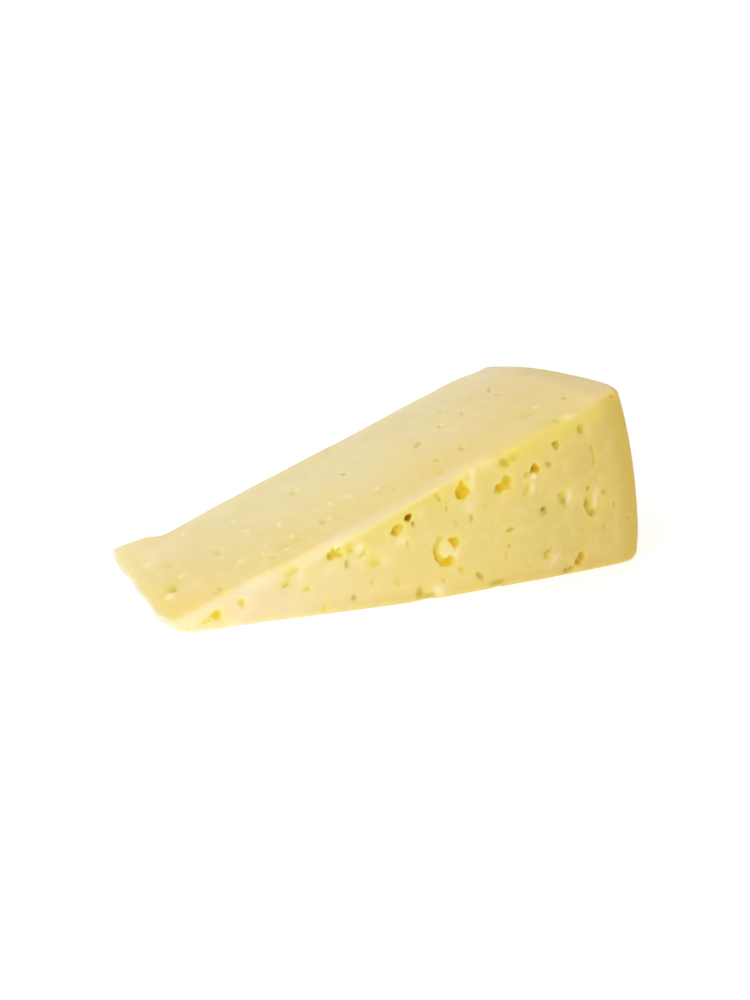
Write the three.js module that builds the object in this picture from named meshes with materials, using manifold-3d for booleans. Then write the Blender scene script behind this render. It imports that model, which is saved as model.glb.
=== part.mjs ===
// A wedge of semi-hard cheese with irregular eyes, lying on one of its two radial cuts.
//
// Millimetres, +Z up. The wedge is worked out about the axis of the wheel that it comes from:
// x runs from that axis to the rim along the base, y from the near face to the far face, and z
// up. The two radial cuts are the base and the slope above it. At the end the piece is moved so
// that the origin lies under the middle of its box.

import * as THREE from 'three';
import { mergeVertices } from 'three/addons/utils/BufferGeometryUtils.js';
import Module from 'manifold-3d';

// The wheel and the cuts. The thin end stops short of the wheel's axis, and its far end draws
// back a little.
const CUT_ANGLE = THREE.MathUtils.degToRad(20.43);
const RIM_RADIUS = 160;
const RIM_BULGE = 4.6;
const TIP_RADIUS = 5.4;
const TIP_SWEEP = 1.4;
const DEPTH_AT_AXIS = 72.8;
const DEPTH_AT_RIM = 85.2;

// The near face swells at its foot and draws back a little along its upper edge.
const NEAR_BELLY = 6;
const NEAR_HOLLOW = 1.9;
const FAR_BELLY = 1.6;

// The far corner of the thin end is squeezed out into an ear.
const EAR_REACH = 11;
const EAR_TAPER = 0.53;
const EAR_START = 8;
const EAR_STEP = [18.5, 22.5];

// How far each edge is rounded: along the length, across the depth, and up.
const ROUND_TIP = 1.2;
const ROUND_RIM = 5;
const ROUND_NEAR = 2.4;
const ROUND_FAR = 5;
const ROUND_BASE = 2;
const ROUND_SLOPE = 2.4;
const THIN_SHARE = 0.45;

// Facets along the length, across the depth and up the thickness. Along the length they get
// closer towards the thin end by this power.
const FACETS = [20, 10, 8];
const CLOSER = 1.5;

// Eyes: how far a hollow's middle lies below the face, how uneven its wall is, and the width
// from which it gets the finer mesh.
const SINK = 0.2;
const UNEVEN = 0.16;
const FINE_WIDTH = 6.5;

// Eyes of the near face: x, z, width, height, tilt in degrees, depth.
const NEAR_EYES = [
  [18.2, 3.7, 2.8, 2.5, 0, 1.6],
  [15.4, 2.5, 3.0, 1.5, 25, 0.6],
  [25.6, 6.1, 2.4, 1.9, -30, 1.1],
  [40.2, 11.4, 5.2, 2.4, 55, 0.6],
  [53.7, 15.6, 4.2, 2.8, 15, 2.0],
  [58.7, 17.7, 1.8, 3.8, 0, 0.6],
  [57.4, 12.4, 1.0, 1.9, -10, 1.0],
  [65.7, 12.9, 3.6, 3.1, 0, 0.6],
  [58.0, 3.4, 1.3, 1.4, 0, 1.0],
  [74.0, 20.3, 2.9, 2.7, 10, 2.2],
  [77.9, 23.3, 2.2, 2.3, 0, 3.0],
  [87.9, 28.5, 1.3, 3.0, 35, 0.9],
  [98.0, 21.3, 1.4, 2.4, 0, 0.9],
  [96.0, 29.8, 4.2, 4.6, 20, 2.4],
  [107.9, 28.9, 2.4, 1.9, 10, 2.0],
  [110.3, 30.9, 2.2, 3.2, -40, 1.6],
  [110.5, 36.6, 2.3, 1.8, 0, 1.5],
  [112.8, 38.3, 3.2, 2.8, 30, 0.9],
  [120.7, 33.9, 3.1, 2.4, 0, 2.4],
  [118.1, 32.4, 1.9, 2.6, -25, 0.9],
  [125.6, 34.5, 2.1, 1.6, -15, 1.2],
  [128.2, 40.5, 2.5, 2.7, 0, 2.0],
  [137.4, 44.5, 2.5, 2.9, 0, 1.8],
  [129.5, 47.6, 3.8, 2.6, -10, 0.9],
  [122.8, 21.1, 1.9, 1.9, 0, 1.8],
  [117.3, 27.6, 1.9, 3.6, -25, 0.6],
  [91.6, 15.0, 2.6, 2.2, -30, 2.0],
  [98.9, 3.9, 1.5, 2.8, 30, 1.3],
  [104.5, 1.1, 3.8, 1.6, 0, 0.8],
  [110.5, 16.4, 2.5, 1.0, 20, 0.8],
  [129.3, 24.6, 1.9, 1.7, 0, 0.8],
  [130.6, 22.4, 1.7, 2.0, 0, 1.5],
  [123.4, 7.1, 2.2, 3.2, -20, 0.9],
  [136.2, 4.2, 1.9, 3.6, -35, 2.2],
  [129.9, 0.8, 1.5, 1.6, 0, 1.2],
  [79.0, 1.2, 2.6, 3.4, -20, 1.4],
  [141.1, 38.3, 1.2, 1.7, 0, 0.9],
];

// Two large eyes of the near face are curved troughs round a standing middle: centre, radii
// along x and z, first and last angle in degrees, width and depth of the trough.
const NEAR_TROUGHS = [
  [88.6, 13.2, 3.0, 3.6, 105, 300, 1.9, 1.9],
  [141.2, 20.9, 2.0, 3.2, 130, 285, 2.0, 1.6],
];
const TROUGH_STEPS = 4;

// Eyes of the slope: distance from the wheel's axis, depth across, width, length, tilt, depth.
const SLOPE_EYES = [
  [13.7, 23.8, 2.8, 5.2, 0, 1.4],
  [17.9, 43.0, 1.4, 4.6, 22, 0.9],
  [23.8, 6.5, 1.6, 3.2, 0, 0.9],
  [32.0, 36.0, 2.6, 6.0, 5, 0.5],
  [60.8, 16.0, 1.7, 3.8, 0, 0.8],
  [64.8, 52.0, 1.5, 3.5, -10, 0.7],
  [81.6, 46.7, 1.5, 3.4, 0, 0.8],
  [106.8, 39.0, 2.6, 4.2, -35, 1.0],
  [118.5, 44.8, 1.5, 4.0, -15, 0.8],
  [129.0, 47.0, 1.0, 4.8, -22, 0.7],
  [145.8, 56.0, 1.1, 4.8, -30, 1.0],
  [103.0, 18.0, 1.8, 3.6, -10, 0.8],
  [111.8, 16.7, 1.4, 4.4, -8, 0.9],
  [137.5, 0.9, 2.2, 4.0, -10, 1.2],
  [150.0, 14.3, 1.4, 3.0, -20, 0.9],
];

// The base and the far face have eyes of the same kind, strewn by a seeded rule.
const STREWN_SEED = 41;
const FAR_COUNT = 18;
const BASE_COUNT = 9;
const STREWN_WIDTH = [1.3, 3.6];
const FAR_GAP = 8;
const BASE_GAP = 20;
const STREWN_MARGIN = 6;

const COLOR = 0xefd684;
const ROUGHNESS = 0.5;

const wasm = await Module();
wasm.setup();

function lerp(a, b, t) {
  return a + (b - a) * t;
}

// Repeatable random numbers from 0 to 1.
function randomFrom(seed) {
  let state = seed;
  return () => {
    state = (state + 0x6d2b79f5) | 0;
    let t = Math.imul(state ^ (state >>> 15), 1 | state);
    t = (t + Math.imul(t ^ (t >>> 7), 61 | t)) ^ t;
    return ((t ^ (t >>> 14)) >>> 0) / 4294967296;
  };
}

// The near face's y where the cheese is at the given distance from the axis and share of the
// cut angle.
function nearY(distance, share) {
  const t = THREE.MathUtils.clamp((distance - TIP_RADIUS) / (RIM_RADIUS - TIP_RADIUS), 0, 1);
  return 4 * t * (1 - t) * lerp(-NEAR_BELLY, NEAR_HOLLOW, share);
}

function ear(distance) {
  const reach = EAR_REACH - EAR_TAPER * (distance - EAR_START);
  return reach * (1 - THREE.MathUtils.smoothstep(distance, ...EAR_STEP));
}

function farY(distance, share) {
  const t = distance / RIM_RADIUS;
  const belly = 4 * t * (1 - t) * FAR_BELLY * Math.sin(Math.PI * share);
  return lerp(DEPTH_AT_AXIS, DEPTH_AT_RIM, t) + ear(distance) + belly;
}

function tipRadius(across) {
  return TIP_RADIUS + TIP_SWEEP * across ** 3;
}

function rimRadius(across) {
  return RIM_RADIUS + RIM_BULGE * 4 * across * (1 - across);
}

// A grid line's place, 0 to 1, with extra lines inside the rounding at both ends.
function station(fraction, count, low, high, power = 1) {
  const i = Math.round(fraction * count);
  if (i <= 2) {
    return low * i / 2;
  }
  if (i >= count - 2) {
    return 1 - high * (count - i) / 2;
  }
  return lerp(low, 1 - high, ((i - 2) / (count - 4)) ** power);
}

// Moves a point of a box's skin onto the same box with its edges rounded. Each axis has a
// radius at its low end and one at its high end.
function roundOff(point, size, low, high) {
  const inner = point.map((p, k) => THREE.MathUtils.clamp(p, low[k], size[k] - high[k]));
  const out = point.map((p, k) => p - inner[k]);
  const reach = out.map((o, k) => (o < 0 ? low[k] : high[k]));
  const norm = Math.hypot(...out.map((o, k) => o / reach[k]));
  return inner.map((p, k) => p + out[k] / norm);
}

// A unit box's skin point, each part from 0 to 1, as a point of the wedge's skin.
function wedgePoint(along, across, up) {
  const length = RIM_RADIUS - TIP_RADIUS;
  const fAlong = station(along, FACETS[0], ROUND_TIP / length, ROUND_RIM / length, CLOSER);
  const fAcross = station(across, FACETS[1], ROUND_NEAR / DEPTH_AT_RIM, ROUND_FAR / DEPTH_AT_RIM);
  const tip = tipRadius(fAcross);
  const reach = rimRadius(fAcross) - tip;
  const distance = tip + fAlong * reach;
  const thick = CUT_ANGLE * distance;
  const base = Math.min(ROUND_BASE, THIN_SHARE * thick);
  const slope = Math.min(ROUND_SLOPE, THIN_SHARE * thick);
  const fUp = station(up, FACETS[2], base / thick, slope / thick);
  const depth = farY(distance, fUp) - nearY(distance, fUp);
  const [a, b, c] = roundOff(
    [fAlong * reach, fAcross * depth, fUp * thick],
    [reach, depth, thick],
    [ROUND_TIP, Math.min(ROUND_NEAR, thick), base],
    [ROUND_RIM, Math.min(ROUND_FAR, thick), slope],
  );
  const angle = c / distance;
  const radius = tip + a;
  const y = nearY(radius, angle / CUT_ANGLE) + b;
  return new THREE.Vector3(radius * Math.cos(angle), y, radius * Math.sin(angle));
}

function solidOf(geometry) {
  geometry.deleteAttribute('normal');
  geometry.deleteAttribute('uv');
  const merged = mergeVertices(geometry, 1e-4);
  return new wasm.Manifold(new wasm.Mesh({
    numProp: 3,
    vertProperties: Float32Array.from(merged.attributes.position.array),
    triVerts: Uint32Array.from(merged.index.array),
  }));
}

function wedgeBody() {
  const geometry = new THREE.BoxGeometry(1, 1, 1, ...FACETS);
  const places = geometry.attributes.position;
  for (let i = 0; i < places.count; i += 1) {
    const p = wedgePoint(places.getX(i) + 0.5, places.getY(i) + 0.5, places.getZ(i) + 0.5);
    places.setXYZ(i, p.x, p.y, p.z);
  }
  return solidOf(geometry);
}

// Each face as a frame: where a place on it lies, and its two directions and outward normal.
const X = new THREE.Vector3(1, 0, 0);
const Y = new THREE.Vector3(0, 1, 0);
const Z = new THREE.Vector3(0, 0, 1);
const UPHILL = new THREE.Vector3(Math.cos(CUT_ANGLE), 0, Math.sin(CUT_ANGLE));
const SLOPE_OUT = new THREE.Vector3(-Math.sin(CUT_ANGLE), 0, Math.cos(CUT_ANGLE));

const NEAR = {
  axes: [X, Z, Y.clone().negate()],
  at: (x, z) => new THREE.Vector3(x, nearY(Math.hypot(x, z), Math.atan2(z, x) / CUT_ANGLE), z),
};
const FAR = {
  axes: [X.clone().negate(), Z, Y],
  at: (x, z) => new THREE.Vector3(x, farY(Math.hypot(x, z), Math.atan2(z, x) / CUT_ANGLE), z),
};
const SLOPE = {
  axes: [UPHILL, Y, SLOPE_OUT],
  at: (s, y) => UPHILL.clone().multiplyScalar(s).setY(y),
};
const BASE = {
  axes: [X, Y.clone().negate(), Z.clone().negate()],
  at: (x, y) => new THREE.Vector3(x, y, 0),
};

// One hollow: an uneven ball squashed to the eye's width, height and depth, set into a face.
function eye(face, [u, v, width, height, tilt, depth], phase) {
  const geometry = new THREE.IcosahedronGeometry(1, Math.max(width, height) < FINE_WIDTH ? 1 : 2);
  const places = geometry.attributes.position;
  for (let i = 0; i < places.count; i += 1) {
    const p = new THREE.Vector3().fromBufferAttribute(places, i);
    const wave = Math.sin(3.1 * p.x + phase) + Math.sin(2.7 * p.y - 1.7 * phase + 2.3 * p.z);
    p.multiplyScalar(1 + UNEVEN * 0.5 * wave);
    places.setXYZ(i, p.x * width / 2, p.y * height / 2, p.z * depth);
  }
  geometry.rotateZ(THREE.MathUtils.degToRad(tilt));
  const centre = face.at(u, v).addScaledVector(face.axes[2], -SINK * depth);
  const place = new THREE.Matrix4().makeBasis(...face.axes).setPosition(centre);
  geometry.applyMatrix4(place);
  return solidOf(geometry);
}

// A trough is a row of overlapping eyes along part of an ellipse.
function troughEyes([x, z, radiusX, radiusZ, from, to, width, depth]) {
  const eyes = [];
  for (let i = 0; i <= TROUGH_STEPS; i += 1) {
    const angle = THREE.MathUtils.degToRad(lerp(from, to, i / TROUGH_STEPS));
    const u = x + radiusX * Math.cos(angle);
    const v = z + radiusZ * Math.sin(angle);
    const turn = THREE.MathUtils.radToDeg(Math.atan2(radiusZ * Math.cos(angle),
      -radiusX * Math.sin(angle)));
    eyes.push([u, v, width * 1.7, width, turn, depth]);
  }
  return eyes;
}

// Eyes strewn over a face: no two closer than the gap, and none near the face's edges.
function strewnEyes(count, gap, random, place) {
  const eyes = [];
  while (eyes.length < count) {
    const [u, v] = place(random(), random());
    const width = lerp(...STREWN_WIDTH, random() ** 2);
    const height = width * lerp(0.8, 1.9, random());
    const tilt = lerp(-60, 60, random());
    const clear = eyes.every((other) => Math.hypot(other[0] - u, other[1] - v) > gap);
    if (clear) {
      eyes.push([u, v, width, height, tilt, width * lerp(0.4, 0.9, random())]);
    }
  }
  return eyes;
}

function farPlace(a, b) {
  const x = lerp(3 * STREWN_MARGIN, RIM_RADIUS - 2 * STREWN_MARGIN, Math.sqrt(a));
  const top = x * Math.tan(CUT_ANGLE);
  return [x, lerp(0.2 * top, 0.82 * top, b)];
}

function basePlace(a, b) {
  const x = lerp(4 * STREWN_MARGIN, RIM_RADIUS - 2 * STREWN_MARGIN, a);
  return [x, lerp(STREWN_MARGIN, farY(x, 0) - 2 * STREWN_MARGIN, b)];
}

function cutEyes(body) {
  const random = randomFrom(STREWN_SEED);
  const sets = [
    [NEAR, NEAR_EYES],
    [NEAR, NEAR_TROUGHS.flatMap(troughEyes)],
    [SLOPE, SLOPE_EYES],
    [FAR, strewnEyes(FAR_COUNT, FAR_GAP, random, farPlace)],
    [BASE, strewnEyes(BASE_COUNT, BASE_GAP, random, basePlace)],
  ];
  let solid = body;
  for (const [face, eyes] of sets) {
    for (const spec of eyes) {
      solid = solid.subtract(eye(face, spec, 2 * Math.PI * random()));
    }
  }
  return solid;
}

function geometryOf(solid) {
  const mesh = solid.getMesh();
  const geometry = new THREE.BufferGeometry();
  geometry.setAttribute('position', new THREE.BufferAttribute(mesh.vertProperties, 3));
  geometry.setIndex(new THREE.BufferAttribute(mesh.triVerts, 1));
  geometry.computeBoundingBox();
  const { min, max } = geometry.boundingBox;
  geometry.translate(-(min.x + max.x) / 2, -(min.y + max.y) / 2, -min.z);
  geometry.computeVertexNormals();
  return geometry;
}

const cheese = new THREE.Mesh(
  geometryOf(cutEyes(wedgeBody())),
  new THREE.MeshStandardMaterial({ color: COLOR, roughness: ROUGHNESS, metalness: 0 }),
);
cheese.name = 'cheese';

const wedge = new THREE.Group();
wedge.add(cheese);

export default wedge;
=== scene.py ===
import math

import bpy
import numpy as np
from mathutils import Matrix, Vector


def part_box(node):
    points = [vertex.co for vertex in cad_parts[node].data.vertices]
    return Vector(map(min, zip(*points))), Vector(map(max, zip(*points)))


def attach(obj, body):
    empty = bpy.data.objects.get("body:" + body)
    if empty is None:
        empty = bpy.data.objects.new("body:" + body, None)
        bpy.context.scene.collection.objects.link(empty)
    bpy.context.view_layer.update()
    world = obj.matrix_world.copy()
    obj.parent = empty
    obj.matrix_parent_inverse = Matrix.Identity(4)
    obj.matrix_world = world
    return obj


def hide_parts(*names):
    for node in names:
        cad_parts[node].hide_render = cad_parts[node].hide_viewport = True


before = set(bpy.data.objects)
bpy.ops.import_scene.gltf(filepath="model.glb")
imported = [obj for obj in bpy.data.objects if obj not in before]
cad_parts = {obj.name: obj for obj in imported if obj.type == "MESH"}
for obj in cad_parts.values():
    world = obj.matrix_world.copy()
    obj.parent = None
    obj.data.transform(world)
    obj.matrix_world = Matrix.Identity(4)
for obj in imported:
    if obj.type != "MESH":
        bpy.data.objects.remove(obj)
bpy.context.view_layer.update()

# A wedge of semi-hard cheese with irregular eyes, lying on one of its two radial cuts.
#
# The shape is worked out in millimetres about the axis of the wheel that the wedge comes from:
# x runs from that axis to the rim along the base, y from the near face to the far face, z up.
# It is built as a field of distances to the skin, with each eye taken out of it, and meshed.

import openvdb
from mathutils import Matrix, Vector

MM = 0.001

# The wheel and the cuts. The rim bulges across its depth and leans out towards the top. It tucks
# in at the base, below a height, and stands out at its near side: how far, and the depths across
# where that has ended and where it is full.
CUT_ANGLE = math.radians(20.43)
RIM_RADIUS = 159.8
RIM_BULGE = 5.2
RIM_FULLNESS = 2.6
RIM_LEAN = 0.4
RIM_TUCK = (0.7, 11.0)
RIM_OUT = (0.5, 50.0, 15.0)
DEPTH_AT_RIM = 86.3

# The far face bellies out, and an ear of it stands out at the thin end: its reach, how fast that
# shrinks from where it starts, and where the ear steps back to the face.
FAR_BELLY = 1.6
EAR_REACH = 12.2
EAR_TAPER = 0.53
EAR_START = 8.0
EAR_STEP = (17.8, 24.2)

# Lines that the worn, hand-cut faces follow: place along the wedge and the offset there. The
# near face runs between its foot and its top line, and the tip edge is uneven across.
NEAR_FOOT = (
    (5, -1.8), (9, -3.2), (13, -4.2), (18, -4.3), (24, -4.1), (32, -4.6), (42, -5.4),
    (50, -5.9), (60, -6.9), (74, -7.8), (90, -7.6), (100, -7.0), (114, -6.3), (122, -6.0),
    (130, -4.8), (140, -4.4), (150, -3.1), (160, -1.5),
)
NEAR_TOP = (
    (5, 1.7), (14, 1.0), (31, 0.8), (42, 0.25), (54, -1.15), (66, -1.9), (80, -2.1), (90, -0.6),
    (99, 0.2), (108, 0.1), (118, -1.2), (125, -1.3), (142, -1.7), (150, -1.1), (160, -1.3),
)
FAR_LINE = (
    (6, 74.4), (20, 76.2), (32, 77.0), (45, 77.9), (65, 79.3), (85, 80.8), (100, 81.3),
    (105, 81.8), (115, 83.0), (125, 84.2), (145, 86.1), (155, 87.3), (160, 87.7),
)
TIP_LINE = (
    (-3, 8.0), (0, 7.2), (3, 6.6), (6.4, 6.0), (10, 5.3), (13, 4.9), (19, 5.1), (23, 5.3),
    (32, 5.4), (38, 4.8), (45, 5.3), (58, 5.1), (66, 4.7), (75, 5.1), (84, 6.3),
)
LINE_SHIFTS = (-1.0, -0.5, 0.0, 0.5, 1.0)
FACE_SMOOTHING = 5.0
TIP_SMOOTHING = 2.0

# Waves of the faces and the rim: height and spacing. They start beyond the thin end.
NEAR_WAVES = ((0.28, 21.0), (0.10, 6.0))
FAR_WAVES = ((0.35, 19.0),)
SLOPE_WAVES = ((0.26, 24.0), (0.09, (5.0, 11.0)))
RIM_WAVES = ((0.22, 17.0), (0.06, 5.0))
WAVES_START = (8.0, 30.0)
NOISE_GAIN = 1.6
BODY_SEED = 3

# The wheel's frame lies in the part's frame by the reach of the rim, and by how far the near
# face bows out.
RIM_REACH = 164.58
NEAR_REACH = 5.45
cheese_low, cheese_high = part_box("cheese")
SHIFT = Vector((
    cheese_high.x - RIM_REACH * MM,
    cheese_low.y + NEAR_REACH * MM,
    0.0,
))

# Rounding of the edges, as radii: of the tip and its two corners; of the rim at the base, at the
# top beside the near face and along the rest of the top; and of the near and the far edges,
# along the wedge and at the rim. No edge takes more than a share of the thickness.
THIN_SHARE = 0.42
TIP_ROUND = 0.9
NEAR_TIP_ROUND = 2.5
FAR_TIP_ROUND = 3.0
RIM_ROUND = (3.4, 2.0, 1.0)
NEAR_ROUND = (0.7, 2.0)
FAR_ROUND = (1.8, 7.0)

# Where one radius turns into the next: shares of the depth and of the height, and distances
# from the rim.
RIM_ROUND_ACROSS = (0.0, 0.2)
RIM_ROUND_UP = (0.1, 0.5)
NEAR_ROUND_ALONG = (-8.0, -1.0)
FAR_ROUND_ALONG = (-16.0, -3.0)
SIDES_ACROSS = (0.3, 0.6)

# The slope rises a little at the corner of the rim and the near face and sinks beside it: depth
# across and rise, from a distance to the axis on. The rim's two upper corners are worn soft.
CORNER_RISE = ((0, 1.0), (5, 1.0), (10, 0.5), (16, -0.1), (24, -0.45), (32, -0.4), (45, 0.0))
CORNER_START = 140.0
CORNER_SOFT = 3.0
FAR_CORNER_SOFT = 5.0

# The crease between the near face and the slope is worn to a shallow bevel: distance from the
# wheel's axis, its reach on the slope and its reach on the near face.
CREASE_BEVEL = (
    (6, 0.5, 1.0), (21, 0.5, 1.2), (35, 0.5, 1.5), (45, 0.9, 2.0), (58, 1.8, 2.1), (72, 2.8, 1.4),
    (83, 3.2, 1.0), (92, 4.0, 0.9), (98.5, 4.2, 1.3), (103, 2.4, 1.0), (115, 1.7, 1.0),
    (131, 1.8, 1.1), (140, 1.6, 1.0), (150, 1.3, 0.9), (165, 1.2, 0.9),
)
BEVEL_EDGE = 0.8

# The pale band along the crease, partly wear and partly a painted highlight, and high up a painted
# shade: distance from the wheel's axis, where the band ends on the near face (negative) and on the
# slope, and its strength. It fades out away from the crease.
CREASE_BAND = (
    (6, -3.0, -0.6, 0.36), (12, -2.8, 0.2, 0.90), (19, -3.2, 0.0, 0.80), (25, -5.2, -1.6, 0.50),
    (35, -4.2, -1.7, 0.30), (45, -3.6, 0.3, 0.50), (52, -3.0, 1.8, 0.56), (60, -2.2, 4.2, 0.56),
    (75, -1.1, 4.6, 0.44), (88, -1.2, 4.2, 0.38), (94, -1.0, 5.2, 0.42), (99, -1.2, 4.8, 0.46),
    (105, -1.8, 2.6, 0.24), (112, -1.2, 2.2, 0.16), (122, -1.2, 2.2, 0.20), (134, -1.2, 1.6, 0.16),
    (146, -1.6, 2.2, 0.34), (165, -1.6, 2.0, 0.34),
)
BAND_SOFT = 1.1
BAND_FADE = (9.0, 4.0)

# The grid of the field and the mesh made from it: how far distances are kept, how much is spent
# on flat places, and how far apart the skin's direction is measured. Eyes have rounded lips.
STEP = 0.40
GRID_LOW = (2.0, -10.0, -2.2)
GRID_HIGH = (168.0, 91.0, 61.0)
BAND = 3.0 * STEP
ADAPTIVITY = 0.012
NORMAL_REACH = 0.35
EMPTY = 9.0
LIP_ROUND = 0.8

# Eyes of the near face: x, z, width, height, tilt in degrees, depth.
NEAR_EYES = [
    (52.5, 15.7, 2.4, 2.4, 0, 1.3), (53.4, 16.9, 1.0, 3.0, 8, 1.2),
    (54.6, 16.8, 0.9, 3.0, -38, 1.0), (54.9, 15.8, 2.2, 1.0, 10, 1.1),
    (15.4, 2.5, 3.2, 1.7, 25, 0.45), (38.9, 10.1, 2.1, 5.2, 8, 0.18),
    (41.0, 12.9, 4.0, 2.4, 10, 0.24), (10.8, 1.3, 0.5, 1.4, 0, 0.3),
    (57.8, 18.2, 2.2, 4.8, 0, 0.18), (56.6, 13.1, 0.5, 1.5, -15, 0.6),
    (64.8, 13.6, 4.0, 3.4, 0, 0.28), (44.7, 7.6, 1.6, 1.3, 0, 0.35), (57.6, 3.7, 0.8, 1.0, 0, 0.45),
    (63.4, 7.4, 0.9, 1.0, 0, 0.25), (71.5, 7.4, 1.8, 3.6, 0, 0.2), (77.9, 22.3, 0.8, 1.4, 0, 1.0),
    (75.6, 17.4, 0.9, 1.9, 0, 0.4), (49.1, 1.9, 1.1, 2.2, -20, 0.4),
    (86.9, 29.0, 1.2, 3.2, 32, 0.7), (89.6, 25.3, 0.7, 2.0, 0, 0.7), (97.4, 21.6, 1.1, 2.1, 0, 0.6),
    (92.3, 21.1, 1.2, 1.4, 0, 0.4), (112.0, 38.8, 4.0, 3.2, 30, 0.5),
    (116.8, 32.9, 1.8, 2.5, -25, 0.7), (124.3, 35.0, 2.0, 1.6, -15, 0.55),
    (127.6, 48.2, 4.4, 2.6, -10, 0.7), (121.8, 21.5, 1.7, 1.5, 0, 1.2),
    (116.2, 28.1, 1.9, 3.6, -25, 0.5), (92.4, 7.5, 2.2, 1.9, 0, 0.38),
    (86.0, 5.1, 1.2, 1.3, 0, 0.5), (97.9, 4.7, 1.3, 1.8, 20, 0.75),
    (98.9, 3.7, 1.5, 1.2, -40, 0.75), (103.6, 1.5, 4.2, 1.4, 5, 0.5),
    (105.7, 2.0, 1.4, 0.7, 5, 0.45), (109.8, 16.7, 2.4, 0.8, 20, 0.6),
    (109.4, 11.9, 1.3, 0.9, 0, 0.6), (108.2, 9.8, 0.9, 2.6, -20, 0.3),
    (128.3, 25.0, 1.8, 1.5, 0, 0.7), (129.6, 22.8, 1.7, 2.0, 30, 1.0),
    (128.9, 24.0, 3.4, 3.6, 0, 0.45), (122.2, 7.4, 1.7, 2.6, -15, 0.6),
    (123.4, 8.7, 1.3, 1.0, 10, 0.7), (129.3, 1.2, 1.6, 1.4, 0, 0.6), (131.8, 1.9, 3.0, 0.9, 8, 0.4),
    (79.8, 1.5, 2.6, 0.9, 0, 0.5), (80.6, 0.1, 5.4, 2.0, 4, 1.1), (104.6, 0.1, 3.6, 1.1, 4, 0.7),
    (141.2, 21.6, 4.6, 8.5, 0, 0.45), (61.0, 16.6, 3.2, 4.6, 0, 0.3),
    (131.2, 23.4, 2.6, 4.0, 0, 0.3), (138.3, 44.5, 2.2, 3.0, 0, 0.15),
    (82.0, 1.6, 0.9, 0.8, 0, 0.6), (138.5, 26.3, 1.4, 1.0, 0, 0.7),
    (139.8, 38.7, 0.9, 1.5, 0, 0.35), (144.5, 24.4, 1.2, 0.8, -20, 0.45),
    (148.7, 19.9, 0.8, 1.4, 0, 0.42), (144.4, 13.3, 1.2, 1.3, 0, 0.28),
    (154.9, 14.6, 1.4, 1.2, 0, 0.3), (147.3, 54.0, 1.2, 0.7, 0, 0.4),
    (63.6, 19.8, 1.3, 0.8, 0, 0.08), (102.4, 24.5, 0.9, 0.8, 0, 0.2),
    (136.1, 13.8, 1.0, 0.8, 0, 0.18), (115.7, 5.6, 1.1, 0.9, 0, 0.16),
]

# Angular eyes of the near face: depth and the corners of the mouth, anticlockwise.
NEAR_CUTS = [
    (1.5, ((71.0, 20.0), (72.7, 19.6), (74.0, 20.7), (74.6, 22.2), (72.6, 22.5), (71.5, 21.7))),
    (3.0, ((75.7, 23.4), (76.7, 23.2), (77.6, 24.1), (77.4, 24.9), (76.4, 24.9), (75.8, 24.2))),
    (1.8, ((95.2, 33.2), (94.1, 31.3), (92.9, 29.3), (93.4, 28.2), (94.9, 27.3), (96.5, 27.9),
           (97.8, 29.5), (96.4, 31.6))),
    (1.7, ((105.9, 28.0), (107.8, 28.0), (109.4, 29.4), (108.6, 30.9), (106.2, 29.8))),
    (1.5, ((107.9, 29.8), (109.3, 28.9), (111.0, 29.4), (111.1, 32.4), (109.3, 32.9),
           (108.1, 31.4))),
    (0.9, ((107.6, 36.6), (109.1, 35.8), (110.8, 35.9), (110.9, 37.5), (109.7, 38.3),
           (107.9, 37.9))),
    (2.1, ((117.9, 33.2), (120.7, 33.2), (121.0, 34.4), (119.9, 35.8), (119.0, 35.3))),
    (1.2, ((137.0, 21.8), (137.7, 19.3), (139.3, 18.0), (139.7, 19.6), (138.9, 21.8), (138.4, 23.5),
           (137.4, 23.2))),
    (1.1, ((138.9, 18.0), (140.6, 17.2), (141.7, 18.2), (141.1, 19.4), (139.7, 19.9))),
    (1.5, ((125.9, 40.8), (126.5, 39.9), (127.4, 39.6), (128.1, 40.6), (127.6, 41.8),
           (126.7, 41.7))),
    (0.9, ((134.9, 44.4), (135.6, 43.6), (136.7, 43.8), (137.0, 45.1), (136.1, 46.1),
           (135.1, 45.6))),
    (1.6, ((89.1, 16.3), (89.8, 14.8), (91.1, 13.7), (92.3, 14.7), (92.1, 16.4), (90.5, 16.8))),
    (1.4, ((133.3, 3.0), (134.7, 2.5), (136.4, 4.4), (136.5, 6.0), (135.3, 6.1), (134.0, 4.6))),
    (1.2, ((16.9, 3.1), (19.3, 2.7), (19.7, 3.9), (19.1, 4.8), (18.3, 4.6))),
    (0.7, ((24.7, 6.7), (25.2, 5.6), (26.2, 5.0), (26.8, 5.6), (26.0, 6.9))),
    (0.9, ((76.6, 0.3), (78.2, 0.9), (79.1, 2.1), (78.5, 3.9), (77.3, 3.3))),
]

# Their walls lean by a draft, reach past the corners, and are uneven by waves: the amount, and
# radians to the millimetre. So is the floor, by a share of the depth.
CUT_DRAFT = 0.45
CUT_REACH = 0.35
CUT_CORNER = 0.7
CUT_WARP = 0.16
CUT_WAVES = ((2.1, 1.3), (2.4, 1.1))
CUT_FLOOR = (0.25, 1.4, 1.7)
CUT_FLOOR_SOFT = 0.8
CUT_BLEND = 0.35
CUT_MARGIN = (2.0, 1.5)

# A large eye of the near face is a curved trough round a standing middle, and a shallow curved
# line marks it near the rim: centre, radii along x and z, first and last angle in degrees, width
# and depth at the start and at the end.
NEAR_TROUGHS = [
    (87.6, 13.7, 3.0, 3.8, 112, 292, (1.7, 2.6), (0.6, 1.5)),
    (137.3, 34.9, 3.7, 3.4, -34, 36, (0.5, 0.5), (0.22, 0.22)),
]
TROUGH_STEPS = 7
TROUGH_STRETCH = 1.5

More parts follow.
